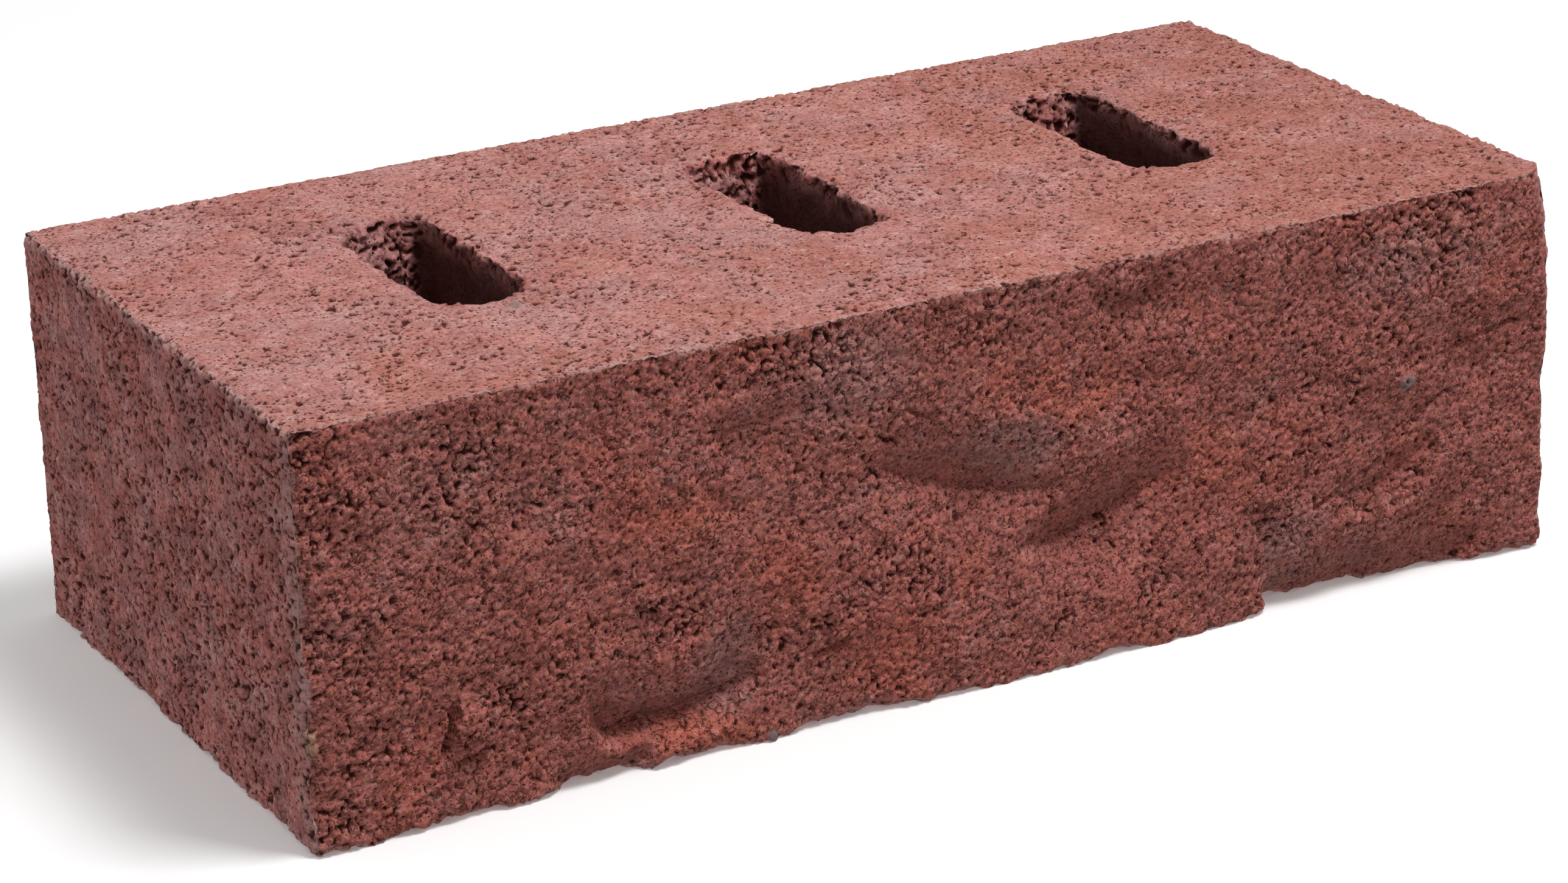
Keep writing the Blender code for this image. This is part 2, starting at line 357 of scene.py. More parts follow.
def hollow_depth(hollow, x, z):
    """Depth of one hollow over a map, and its smooth inside as a mask."""
    tilt = math.radians(hollow.tilt_deg)
    dx, dz = x - hollow.x * MM, z - hollow.line_z * MM
    along = dx * math.cos(tilt) + dz * math.sin(tilt)
    up = dz * math.cos(tilt) - dx * math.sin(tilt)
    across = along / (hollow.half_width * MM)
    rise = hollow.rise * MM
    up = up - LINE_BEND * rise * across**2
    above = np.clip(1.0 - up / rise, 0.0, 1.0) ** RISE_POWER
    nick = 1.0 - NICK_SHARE * step(-up, 0.0, NICK_HEIGHT)
    below = nick * rest_below(-up / (hollow.below * MM)) / rest_below(0.0)
    sides = np.clip(1.0 - np.abs(across) ** hollow.ends, 0.0, 1.0)
    profile = np.where(up >= 0.0, above, np.minimum(below, 1.0)) * sides
    inside = step(profile, 0.10, 0.55) * step(up, -0.4 * MM, 0.8 * MM) * step(hollow.depth, 0.5, 5.5)
    return hollow.depth * MM * profile, inside


def rest_below(share):
    """How much of a hollow is left below its line, part of the way to where it ends."""
    return 1.0 - step(share, -BELOW_START, 1.0)


def spread(spots, x, z):
    """Soft sum of spots over a map."""
    total = np.zeros(x.shape)
    for spot in spots:
        across, up = (x / MM - spot.x) / spot.half_width, (z / MM - spot.z) / spot.half_height
        total += spot.amount * np.exp(-((across**2 + up**2) ** 1.5))
    return total


def crevice_depth(crevice, x, z):
    """Depth of a crack along a straight run, over a map that is bent beforehand."""
    run_x, run_z = (crevice.end_x - crevice.x) * MM, (crevice.end_z - crevice.z) * MM
    dx, dz = x - crevice.x * MM, z - crevice.z * MM
    along = np.clip((dx * run_x + dz * run_z) / (run_x**2 + run_z**2), 0.0, 1.0)
    gap = np.hypot(dx - along * run_x, dz - along * run_z)
    return crevice.depth * MM * (1.0 - step(gap, 0.25 * crevice.half_width * MM, crevice.half_width * MM))


def split_face():
    """Broad depth, skin height, painted shade of the cavities, smoothness, redness and greyness of the split
    face, over X and Z.
    """
    sheet = Sheet((LOW[0], LOW[2]), (HIGH[0], HIGH[2]))
    places = [sheet.u, sheet.v]
    bent_u, bent_v = sheet.bent(2.2 * MM, 14.0 * MM, 31)
    bent_u += layered(places, 5.0 * MM, 33, 3) * 1.2 * MM
    bent_v += layered(places, 5.0 * MM, 35, 3) * 1.2 * MM
    depth = np.zeros(sheet.shape)
    smooth = np.zeros(sheet.shape)
    for hollow in HOLLOWS:
        one, inside = hollow_depth(hollow, bent_u, bent_v)
        depth = np.maximum(depth, one)
        smooth = np.maximum(smooth, inside)
    calm = TOP_EDGE_CALM + (1.0 - TOP_EDGE_CALM) * step(HIGH[2] - sheet.v, 0.0, CALM_BAND)
    swell = sum(layered(places, one.size, one.seed, one.octaves) * one.height for one in SWELLS)
    wu, wv = sheet.bent(0.6 * MM, 1.5 * MM, 41)
    for crevice in CREVICES:
        along, up = wu + 0.6 * (bent_u - sheet.u), wv + 0.6 * (bent_v - sheet.v)
        depth = np.maximum(depth, crevice_depth(crevice, along, up))
    depth -= spread(LUMPS, wu, wv) * MM
    lumps = sheet.grains(
        (
            (0.14, 0.9 * MM, 1.7 * MM, -0.25 * MM, 0.45 * MM),
            (2.10, 0.34 * MM, 0.95 * MM, -0.50 * MM, 0.20 * MM),
        ),
        -1.4 * MM,
        5,
        sharp=0.28,
        tilt=0.25,
    )
    lumps = sheet.sample(lumps, wu, wv)
    sand = sheet.grains(((2.0, 0.24 * MM, 0.48 * MM, -0.16 * MM, 0.20 * MM),), -0.32 * MM, 6)
    sand = sheet.sample(sand, wu, wv)
    wide_holes = (0.07, 0.4 * MM, 0.9 * MM, 0.4 * MM, 1.1 * MM)
    pinholes = (0.16, 0.25 * MM, 0.5 * MM, 0.25 * MM, 0.8 * MM)
    holes = pits_of(sheet, (wide_holes, pinholes), 7)
    loose = 0.85 * layered(places, 9.0 * MM, 61, 4, 0.65) + spread(LOOSE_AREAS, bent_u, bent_v) - 0.08
    loose += 0.55 * step(LOW[0] + 18.0 * MM - sheet.u, 0.0, 16.0 * MM)
    loose = step(loose, -0.18, 0.55) * (1.0 - 0.9 * smooth)
    fill = (-0.02 - 1.30 * loose + 0.22 * layered(places, 1.8 * MM, 63, 3, 0.6)) * MM
    skin = np.maximum(lumps, fill) * (0.30 + 0.70 * loose) + sand * (1.15 - 0.3 * smooth)
    skin -= holes * (0.6 + 0.4 * loose)
    depth += swell * calm + SPLIT_SETBACK
    cavity_shade = cavity_shade_of(sheet, skin, 0.8 * MM, 0.62 * MM)
    redness, greyness = (spread(areas, bent_u, bent_v) for areas in (RED_AREAS, GREY_AREAS))
    return sheet, depth, skin, cavity_shade, smooth, redness, greyness


def pits_of(sheet, layers, seed):
    """Depths of scattered holes with ragged outlines."""
    pits = sheet.grains(layers, 0.0, seed)
    wu, wv = sheet.bent(0.5 * MM, 1.1 * MM, seed + 3)
    return np.clip(sheet.sample(pits, wu, wv), 0.0, DEEPEST_PIT)


def pressed_face(low, high, seed, open_share, edges=()):
    """Height and painted shade of the cavities of a pressed face: grains cut off flat by the mould, with gaps
    between them.

    open_share is the looseness from 0 to 1. edges holds (axis, end, width): crumbs within width of the
    low or high end of U or V.
    """
    sheet = Sheet(low, high)
    places = [sheet.u, sheet.v]
    wu, wv = sheet.bent(0.55 * MM, 1.3 * MM, seed + 5)
    lumps = sheet.grains(
        ((3.0 - 1.0 * open_share, 0.45 * MM, 1.30 * MM, -0.50 * MM, 0.45 * MM),),
        -1.0 * MM,
        seed,
        sharp=0.32,
        tilt=0.3,
    )
    lumps = sheet.sample(lumps, wu, wv)
    patchy = step(layered(places, 9.0 * MM, seed + 30, 4, 0.65), -0.40, 0.40)
    fine = layered(places, 0.8 * MM, seed + 20, 2, 0.6)
    pits = pits_of(
        sheet,
        (
            (0.07 + 0.16 * open_share, 0.60 * MM, 1.35 * MM, 0.20 * MM, 0.90 * MM),
            (0.34 + 0.22 * open_share, 0.32 * MM, 0.72 * MM, 0.10 * MM, 0.65 * MM),
        ),
        seed + 2,
    )
    pits *= (0.25 - 0.1 * open_share + 0.95 * patchy) * (0.85 + 0.65 * open_share)
    fill = (-0.06 - 0.45 * open_share * patchy) * MM
    flat = np.minimum(np.maximum(lumps, fill), (0.03 + 0.07 * open_share) * MM)
    height = flat + fine * (0.05 + 0.06 * open_share) * MM - pits - 0.06 * MM
    torn = np.zeros(sheet.shape)
    for axis, end, width in edges:
        along = places[axis]
        gap = along - low[axis] if end == "low" else high[axis] - along
        ragged = gap + layered(places, 4.0 * MM, seed + 40, 3) * width * 0.8
        torn = np.maximum(torn, 1.0 - step(ragged, 0.35 * width, 1.1 * width))
    skin = height * (1.0 - torn) + (lumps * 0.8 - 0.05 * MM) * torn
    cavity_shade = cavity_shade_of(sheet, skin, 0.9 * MM, (0.40 - 0.08 * open_share) * MM)
    return sheet, skin, cavity_shade, torn


# ---------------------------------------------------------------- base mesh


def box_between(name, low, high):
    mesh = bpy.data.meshes.new(name)
    shape = bmesh.new()
    centre = Matrix.Translation((Vector(low) + Vector(high)) / 2.0)
    sides = Matrix.Diagonal((*(Vector(high) - Vector(low)), 1.0))
    bmesh.ops.create_cube(shape, size=1.0, matrix=centre @ sides)
    shape.to_mesh(mesh)
    shape.free()
    made = bpy.data.objects.new(name, mesh)
    bpy.context.scene.collection.objects.link(made)
    return made


def base_mesh():
    """The plain brick with its slots as an even closed skin, finer where it shows most."""
    block = box_between("block", LOW, HIGH)
    cutters = []
    for centre_x in SLOT_CENTRES_X:
        half = (SLOT_WIDTH / 2.0, SLOT_LENGTH / 2.0)
        low = (centre_x - half[0], SLOT_CENTRE_Y - half[1], LOW[2] - MARGIN)
        high = (centre_x + half[0], SLOT_CENTRE_Y + half[1], HIGH[2] + MARGIN)
        cutter = box_between("cutter", low, high)
        shape = bmesh.new()
        shape.from_mesh(cutter.data)
        upright = [e for e in shape.edges if abs(e.verts[0].co.z - e.verts[1].co.z) > MARGIN]
        bmesh.ops.bevel(shape, geom=upright, offset=SLOT_CORNER, segments=6, profile=0.5, affect="EDGES")
        shape.to_mesh(cutter.data)
        shape.free()
        cut = block.modifiers.new("slot", "BOOLEAN")
        cut.solver = "EXACT"
        cut.object = cutter
        cutters.append(cutter)
    remesh = block.modifiers.new("even", "REMESH")
    remesh.mode = "VOXEL"
    remesh.voxel_size = VOXEL
    graph = bpy.context.evaluated_depsgraph_get()
    mesh = bpy.data.meshes.new_from_object(block.evaluated_get(graph), depsgraph=graph)
    for leftover in (*cutters, block):
        bpy.data.objects.remove(leftover, do_unlink=True)
    place(mesh, squared(read(mesh)))
    body = bmesh.new()
    body.from_mesh(mesh)
    for wanted in (is_outer, shows_well):
        edges = {edge for face in body.faces if wanted(face.calc_center_median()) for edge in face.edges}
        bmesh.ops.subdivide_edges(body, edges=list(edges), cuts=1, use_grid_fill=True)
    body.to_mesh(mesh)
    body.free()
    mesh.name = "brick_skin"
    return mesh


def is_outer(point):
    """The upright faces and the top bed."""
    side = min(point.x - LOW[0], HIGH[0] - point.x, point.y - LOW[1], HIGH[1] - point.y)
    return side < FACE_BAND or shows_well(point)


def shows_well(point):
    """The split face, the left end, the top bed, and the slots' rims and upper end walls."""
    down = HIGH[2] - point.z
    if min(point.x - LOW[0], point.y - LOW[1], down) < FACE_BAND:
        return True
    gap, _ = slot_gap(np.array(point)[None, :], min(SLOT_CENTRES_X, key=lambda x: abs(x - point.x)))
    at_end = abs(point.y - SLOT_CENTRE_Y) > SLOT_LENGTH / 2.0 - SLOT_CORNER
    return down < WALL_SEEN_DOWN_TO and at_end and gap[0] < WALL_BAND


def bake_layout(mesh, points):
    """UV layer for the baked texture: one flat island for each face of the block and each slot wall."""
    loop_vertex = np.empty(len(mesh.loops), np.int32)
    first, count = (np.empty(len(mesh.polygons), np.int32) for _ in range(2))
    mesh.loops.foreach_get("vertex_index", loop_vertex)
    mesh.polygons.foreach_get("loop_start", first)
    mesh.polygons.foreach_get("loop_total", count)
    centre = np.add.reduceat(points[loop_vertex], first, axis=0) / count[:, None]
    charts = []
    for axis, high, corner in BAKE_ISLANDS:
        u_axis, v_axis = (other for other in range(3) if other != axis)
        distance = np.abs(centre[:, axis] - (HIGH if high else LOW)[axis])
        charts.append((distance, u_axis, v_axis, (LOW[u_axis], LOW[v_axis]), corner))
    for number, centre_x in enumerate(SLOT_CENTRES_X):
        gap, away = slot_gap(centre, centre_x)
        facing = np.abs(away).argmax(axis=1)
        start = (centre_x - SLOT_WIDTH / 2.0, SLOT_CENTRE_Y - SLOT_LENGTH / 2.0)
        for axis, (corner, spacing) in enumerate(BAKE_WALLS):
            for row, sign in enumerate((-1.0, 1.0)):
                here = (facing == axis) & (away[:, axis] * sign > 0.0)
                distance = np.where(here, np.abs(gap), LENGTH)
                place_on = (corner[0] + spacing * number, corner[1][row])
                charts.append((distance, 1 - axis, 2, (start[1 - axis], LOW[2]), place_on))
    nearest = np.repeat(np.stack([chart[0] for chart in charts]).argmin(axis=0), count)
    uv = np.empty((len(loop_vertex), 2))
    for index, (_, u_axis, v_axis, start, corner) in enumerate(charts):
        own = nearest == index
        place_of = points[loop_vertex[own]]
        uv[own, 0] = place_of[:, u_axis] - start[0] + corner[0] * MM
        uv[own, 1] = place_of[:, v_axis] - start[1] + corner[1] * MM
    layer = mesh.uv_layers.new(name="OFBake")
    layer.data.foreach_set("uv", (uv / BAKE_SIDE + BAKE_EDGE).astype(np.float32).ravel())


def squared(points):
    """Pulls the remesh's cut-off edges back out to the square edge of the block."""
    gaps = np.stack([points - LOW, HIGH - points], axis=2)
    nearest = gaps.min(axis=2)
    cut_off = (nearest > 0.01 * MM) & (nearest < 0.8 * VOXEL)
    both = cut_off.sum(axis=1) >= 2
    snap = cut_off & both[:, None]
    low_side = gaps[:, :, 0] < gaps[:, :, 1]
    return np.where(snap, np.where(low_side, LOW, HIGH), points)


def read(mesh, what="co"):
    """Vertex places or normals as an array."""
    values = np.empty(len(mesh.vertices) * 3)
    if what == "co":
        mesh.vertices.foreach_get("co", values)
    else:
        mesh.vertex_normals.foreach_get("vector", values)
    return values.reshape(-1, 3)


def place(mesh, points):
    """Moves a mesh's vertices to an array of places."""
    mesh.vertices.foreach_set("co", points.astype(np.float32).ravel())
    mesh.update()


def rounded(first, second, radius):
    """Distances from two faces, moved from their square edge onto a round one."""
    a, b = first - radius, second - radius
    square = np.maximum(np.abs(a), np.abs(b))
    scale = np.where((a < 0.0) & (b < 0.0), square / np.maximum(np.hypot(a, b), 1e-9), 1.0)
    return radius + a * scale, radius + b * scale


def round_outer_edges(points):
    """Rounds the block's twelve edges, each worn by its own amount along its length."""
    ragged = layered(points.T, 7.0 * MM, 71, 3, 0.6)
    fine = layered(points.T, 2.2 * MM, 77, 2)
    height = np.clip((points[:, 2] - LOW[2]) / HEIGHT, 0.0, 1.0)
    front_right = FRONT_RIGHT_LOW + (FRONT_RIGHT_TOP - FRONT_RIGHT_LOW) * height**FRONT_RIGHT_POWER
    # each edge: the two faces (axis, high end?), radius, and how much it varies
    edges = (
        (0, False, 1, False, FRONT_LEFT_RADIUS, 1.2 * MM),
        (0, True, 1, False, front_right, 0.9 * MM),
        (0, True, 1, True, BACK_RIGHT_RADIUS, 0.6 * MM),
        (0, False, 1, True, BACK_LEFT_RADIUS, 0.5 * MM),
        (2, True, 1, False, 0.9 * MM, 0.7 * MM),
        (2, True, 1, True, 0.45 * MM, 0.2 * MM),
        (2, True, 0, False, 1.3 * MM, 1.1 * MM),
        (2, True, 0, True, 1.1 * MM, 0.9 * MM),
        (2, False, 1, False, 2.2 * MM, 2.4 * MM),
        (2, False, 1, True, 0.7 * MM, 0.4 * MM),
        (2, False, 0, False, 1.3 * MM, 1.3 * MM),
        (2, False, 0, True, 1.0 * MM, 0.7 * MM),
    )
    for axis_a, high_a, axis_b, high_b, radius, variation in edges:
        reach = np.maximum(radius + variation * (ragged * 1.3 + 0.5 * fine), SHARPEST_EDGE)
        gaps = []
        for axis, high in ((axis_a, high_a), (axis_b, high_b)):
            gaps.append(HIGH[axis] - points[:, axis] if high else points[:, axis] - LOW[axis])
        moved = rounded(np.maximum(gaps[0], 0.0), np.maximum(gaps[1], 0.0), reach)
        for (axis, high), gap in zip(((axis_a, high_a), (axis_b, high_b)), moved):
            points[:, axis] = HIGH[axis] - gap if high else LOW[axis] + gap
    return points


def slot_gap(points, centre_x):
    """Distance from one slot's wall, above zero in the brick, and the direction away from the slot."""
    offset = points[:, :2] - (centre_x, SLOT_CENTRE_Y)
    half = np.array((SLOT_WIDTH, SLOT_LENGTH)) / 2.0 - SLOT_CORNER
    past = np.abs(offset) - half
    outside = np.maximum(past, 0.0)
    length = np.linalg.norm(outside, axis=1)
    gap = length + np.minimum(past.max(axis=1), 0.0) - SLOT_CORNER
    flat = np.zeros_like(past)
    flat[np.arange(len(past)), past.argmax(axis=1)] = 1.0
    direction = np.where(length[:, None] > 1e-9, outside / np.maximum(length, 1e-9)[:, None], flat)
    return gap, direction * np.sign(offset)


def shape_slots(points):
    """Crumbles the slots' rims and roughens their walls.

    Also gives masks of the points for painted shade: on a slot's wall, in the holes of its wall, and where
    light reaches it.
    """
    sheet = Sheet((-20.0 * MM, LOW[2]), (60.0 * MM, HIGH[2]))
    rough = sheet.grains(
        (
            (0.5, 1.1 * MM, 2.0 * MM, -0.9 * MM, 1.0 * MM),
            (1.8, 0.45 * MM, 1.2 * MM, -0.9 * MM, 0.7 * MM),
        ),
        -1.6 * MM,
        91,
        sharp=0.42,
        tilt=0.3,
    )
    rough += sheet.grains(((2.0, 0.30 * MM, 0.55 * MM, -0.2 * MM, 0.2 * MM),), -0.3 * MM, 92)
    wu, wv = sheet.bent(0.5 * MM, 1.5 * MM, 93)
    rough = sheet.sample(rough, wu, wv)
    holes = cavity_shade_of(sheet, rough, 0.9 * MM, 0.7 * MM)
    wall, wall_hole_shade, lit = (np.zeros(len(points)) for _ in range(3))
    for number, centre_x in enumerate(SLOT_CENTRES_X):
        gap, away = slot_gap(points, centre_x)
        near = np.flatnonzero(gap < 8.0 * MM)
        p, gap, away = points[near], gap[near], away[near]
        down = HIGH[2] - p[:, 2]
        rise = p[:, 2] - LOW[2]
        ragged = layered(p.T, 6.5 * MM, 101 + number, 5, 0.75)
        back_end = step(away[:, 1], 0.5, 0.9)
        front_end = step(-away[:, 1], 0.3, 0.9)
        side = np.abs(away[:, 0])
        right = step(away[:, 0], 0.5, 0.9)
        is_wall = step(-gap, -SNAP_TO_WALL, 0.0)
        # the even quads are first set on the wall, which then wanders and is filled in at its corners
        on_wall = np.abs(gap) < SNAP_TO_WALL
        p[:, :2] -= away * np.where(on_wall, gap, 0.0)[:, None]
        gap = np.where(on_wall, 0.0, gap)
        wander = layered(p.T, 4.5 * MM, 131 + number, 4, 0.65) * (1.0 - step(gap, 0.0, 6.0 * MM))
        wander *= 0.3 + 0.7 * (1.0 - step(down, 1.5 * MM, 9.0 * MM))
        p[:, :2] -= away * (wander * WALL_WANDER)[:, None]
        fill = np.zeros(len(p))
        for left, back, amount in zip((1, 1, -1), (1, -1, -1), SLOT_FILLS[number]):
            corner_x = centre_x - left * SLOT_WIDTH / 2.0
            corner_y = SLOT_CENTRE_Y + back * SLOT_LENGTH / 2.0
            reach = np.hypot(p[:, 0] - corner_x, p[:, 1] - corner_y) / SLOT_FILL_REACH
            fill += amount * is_wall * (1.0 - step(reach + 0.25 * ragged, 0.25, 1.0))
        p[:, :2] -= away * fill[:, None]
        # the rim is broken away by a varying radius
        for depth_from, sign in ((down, -1.0), (rise, 1.0)):
            radius = (0.7 + 2.4 * ragged + 0.5 * back_end) * MM - 0.6 * fill
            radius = np.clip(radius, SHARPEST_EDGE, ROUNDEST_RIM)
            new_gap, new_depth = rounded(np.maximum(gap, 0.0), np.maximum(depth_from, 0.0), radius)
            p[:, :2] += away * (new_gap - np.maximum(gap, 0.0))[:, None]
            p[:, 2] += sign * (new_depth - np.maximum(depth_from, 0.0))
        # lumps on the end walls near the top, a finer drag texture on the long walls
        along = np.where(side > 0.7, p[:, 1], p[:, 0] - centre_x) + number * 12.0 * MM
        along += layered(p.T, 3.0 * MM, 141, 2) * 1.5 * MM
        grains = sheet.sample(rough, along, p[:, 2])
        top_zone = 1.0 - step(down, 12.0 * MM, 28.0 * MM)
        near_rim = 1.0 - step(down, 1.0 * MM, 6.0 * MM)
        share = is_wall * (0.16 + 1.0 * back_end * top_zone + 0.5 * near_rim * np.maximum(right, front_end))
        ledge = is_wall * back_end * step(down, 0.5 * MM, 9.0 * MM) * BACK_LEDGE
        push = np.minimum(share, 1.1) * (grains + 0.3 * MM) + ledge
        p[:, :2] -= away * push[:, None]
        points[near] = p
        wall[near] = np.maximum(wall[near], is_wall)
        # painted shade in the holes of the walls
        shade = is_wall * sheet.sample(holes, along, p[:, 2]) * np.clip(share * 2.0, 0.0, 1.0)
        wall_hole_shade[near] = np.maximum(wall_hole_shade[near], shade)
        lit[near] = np.maximum(lit[near], is_wall * np.maximum(back_end * top_zone, 0.6 * near_rim))
    return points, wall, wall_hole_shade, lit


def spread_in_space(stones, points):
    """From 1 inside the stones that show in the skin to 0 away from them."""
    bent = points + (layered(points.T, 2.0 * MM, 151, 2) * 0.5 * MM)[:, None]
    total = np.zeros(len(points))
    for stone in stones:
        offset = (bent - np.array((stone.x, stone.y, stone.z)) * MM) / (np.array(stone.size) * MM)
        total = np.maximum(total, 1.0 - step(np.linalg.norm(offset, axis=1), 0.8, 1.1))
    return total


def brick_object():
    """Displaces the even skin into the brick, and keeps what each place is, and where shade is painted, as
    vertex attributes.
    """
    mesh = base_mesh()
    points = read(mesh)
    bake_layout(mesh, points)
    inner = np.ones(len(points))
    for centre_x in SLOT_CENTRES_X:
        gap, _ = slot_gap(points, centre_x)
        inner *= step(gap, 0.2 * MM, 0.9 * MM)
    points = round_outer_edges(points)
    place(mesh, points)
    normal = read(mesh, "normal")
    share = np.abs(normal) ** 3
    share /= share.sum(axis=1)[:, None]
    edge = (1.0 - step(share.max(axis=1), 0.55, 0.98)) * inner
    share *= inner[:, None]
    move = np.zeros_like(points)
    # painted shade in holes and crevices, gathered from every face
    cavity_shade = np.zeros(len(points))
    worn = np.zeros(len(points))

    sheet, depth, height, cavity_shade_sheet, smooth, redness, greyness = split_face()
    front = np.where(normal[:, 1] < 0.0, share[:, 1], 0.0)
    u, v = points[:, 0], points[:, 2]
    # the broad shape is pressed into the whole front part of the block, so that the beds follow the face
    move[:, 1] += sheet.sample(depth, u, v) * (1.0 - step(points[:, 1] - LOW[1], 0.0, FRONT_REACH))
    move[:, 1] -= front * sheet.sample(height, u, v)
    slope_u, slope_v = np.gradient(sheet.blurred(height - depth, 0.3 * MM), CELL)
    steepness = 1.0 + np.hypot(slope_u, slope_v)
    move[:, 0] -= front * sheet.sample(slope_u / steepness, u, v) * BULGE
    move[:, 2] -= front * sheet.sample(slope_v / steepness, u, v) * BULGE
    cavity_shade += front * sheet.sample(cavity_shade_sheet, u, v)
    # calm marks the hollows' smooth insides, which the material also darkens as painted shade
    calm = front * sheet.sample(smooth, u, v)
    redness, greyness = sheet.sample(redness, u, v), sheet.sample(greyness, u, v)
    tan = spread_in_space(TAN_STONES, points)
    grey = spread_in_space(GREY_STONES, points)
    move += normal * STONE_RISE * np.maximum(tan, grey)[:, None]

    faces = (
        # axis, high end?, U axis, V axis, seed, looseness, crumbly edges
        (2, True, 0, 1, 200, 0.25, ((0, "low", 1.6 * MM), (0, "high", 1.0 * MM), (1, "low", 0.9 * MM))),
        (2, False, 0, 1, 300, 0.4, ((1, "low", 2.0 * MM),)),
        (0, False, 1, 2, 400, 1.0, ((0, "low", 5.4 * MM), (1, "high", 2.0 * MM), (1, "low", 1.4 * MM))),
        (0, True, 1, 2, 500, 0.7, ((0, "low", 6.0 * MM), (1, "high", 2.0 * MM), (1, "low", 1.4 * MM))),
        (1, True, 0, 2, 600, 0.6, ((0, "low", 1.6 * MM), (0, "high", 2.2 * MM))),
    )
    for axis, high, u_axis, v_axis, seed, open_share, edges in faces:
        low = (LOW[u_axis], LOW[v_axis])
        top = (HIGH[u_axis], HIGH[v_axis])
        sheet, height, cavity_shade_sheet, torn = pressed_face(low, top, seed, open_share, edges)
        facing = normal[:, axis] > 0.0 if high else normal[:, axis] < 0.0
        weight = np.where(facing, share[:, axis], 0.0)
        u, v = points[:, u_axis], points[:, v_axis]
        move[:, axis] += (1.0 if high else -1.0) * weight * sheet.sample(height, u, v)
        cavity_shade += weight * sheet.sample(cavity_shade_sheet, u, v)
        worn += weight * sheet.sample(torn, u, v)

    points, wall, wall_hole_shade, lit = shape_slots(points + move)
    points[:, 2] = np.maximum(points[:, 2], LOW[2])
    place(mesh, points)
    mesh.shade_smooth()
    masks = {
        "redness": redness,
        "greyness": greyness,
        "tan": tan,
        "grey": grey,
        "split": front,
        "calm": calm,
        # the slots' walls, and where light reaches them, steer painted shade
        "wall": wall,
        "lit": lit,
        "cavity_shade": np.clip(np.maximum(cavity_shade, wall_hole_shade), 0.0, 1.0),
        "worn": np.clip(worn * 0.7 + edge * 0.6, 0.0, 1.0),
        "bloom": np.where(normal[:, 2] > 0.0, share[:, 2], 0.0),
    }
    for name, values in masks.items():
        layer = mesh.attributes.new(name, "FLOAT", "POINT")
        layer.data.foreach_set("value", values.astype(np.float32))
    made = bpy.data.objects.new("brick_skin", mesh)
    bpy.context.scene.collection.objects.link(made)
    return made


# ---------------------------------------------------------------- material


class Graph:
    """Short calls for building a node tree."""

    def __init__(self, name):
        self.material = bpy.data.materials.new(name)
        self.material.use_nodes = True
        self.tree = self.material.node_tree
        self.shader = self.tree.nodes["Principled BSDF"]
        self.places = self.add("ShaderNodeTexCoord").outputs["Object"]

    def add(self, kind, sockets=(), **settings):
        node = self.tree.nodes.new(kind)
        for key, value in settings.items():
            setattr(node, key, value)
        for key, value in dict(sockets).items():
            self.put(node.inputs[key], value)
        return node

    def put(self, socket, value):
        if isinstance(value, bpy.types.NodeSocket):
            self.tree.links.new(value, socket)
        else:
            socket.default_value = value

    def mask(self, name):
        return self.add("ShaderNodeAttribute", attribute_name=name).outputs["Fac"]

    def vector(self, operation, sockets):
        return self.add("ShaderNodeVectorMath", sockets, operation=operation).outputs[0]

    def noise(self, size, detail=2.0, rough=0.5, shift=0.0):
        """Noise at a real size. A shift takes it from another part of the same noise."""
        place = self.vector("ADD", {0: self.places, 1: (shift,) * 3}) if shift else self.places
        sockets = {"Vector": place, "Scale": 1.0 / size, "Detail": detail, "Roughness": rough}
        return self.add("ShaderNodeTexNoise", sockets).outputs["Fac"]

    def cells(self, size, output="Distance", shift=0.0, feature="F1", bend=0.0):
        """Cells at a real size, with outlines pushed about by up to bend."""
        place = self.places
        if bend:
            sockets = {"Vector": place, "Scale": 1.0 / (0.8 * size), "Detail": 3.0}
            sway = self.add("ShaderNodeTexNoise", sockets).outputs["Color"]
            sway = self.vector("SUBTRACT", {0: sway, 1: (0.5,) * 3})
            sway = self.vector("SCALE", {0: sway, "Scale": 2.0 * bend})
            place = self.vector("ADD", {0: place, 1: sway})
        if shift:
            place = self.vector("ADD", {0: place, 1: (shift,) * 3})
        sockets = {"Vector": place, "Scale": 1.0 / size}
        return self.add("ShaderNodeTexVoronoi", sockets, feature=feature).outputs[output]

    def math(self, operation, *values):
        return self.add("ShaderNodeMath", dict(enumerate(values)), operation=operation).outputs[0]

    def ramp(self, value, low, high, out_low=0.0, out_high=1.0):
        sockets = {"Value": value, "From Min": low, "From Max": high, "To Min": out_low, "To Max": out_high}
        return self.add("ShaderNodeMapRange", sockets, interpolation_type="SMOOTHSTEP").outputs["Result"]

    def blend(self, share, first, second, how="MIX"):
        node = self.add("ShaderNodeMix", data_type="RGBA", blend_type=how)
        for socket, value in zip((node.inputs[0], node.inputs[6], node.inputs[7]), (share, first, second)):
            self.put(socket, value)
        return node.outputs[2]

    def blend_value(self, share, first, second):
        node = self.add("ShaderNodeMix", {0: share, 2: first, 3: second}, data_type="FLOAT")
        return node.outputs[0]

    def shade(self, colour, amount):
        """Colour times a number."""
        grey = self.add("ShaderNodeCombineColor", {"Red": amount, "Green": amount, "Blue": amount}).outputs[0]
        return self.blend(1.0, colour, grey, "MULTIPLY")


# Pressed skin, split face and slots
SALMON = (0.55, 0.250, 0.222, 1.0)
ROSE = (0.52, 0.262, 0.245, 1.0)
ORANGE = (0.47, 0.180, 0.142, 1.0)
PALE = (0.62, 0.40, 0.37, 1.0)
SIDE = (0.64, 0.235, 0.213, 1.0)
SIDE_MAUVE = (0.58, 0.265, 0.254, 1.0)
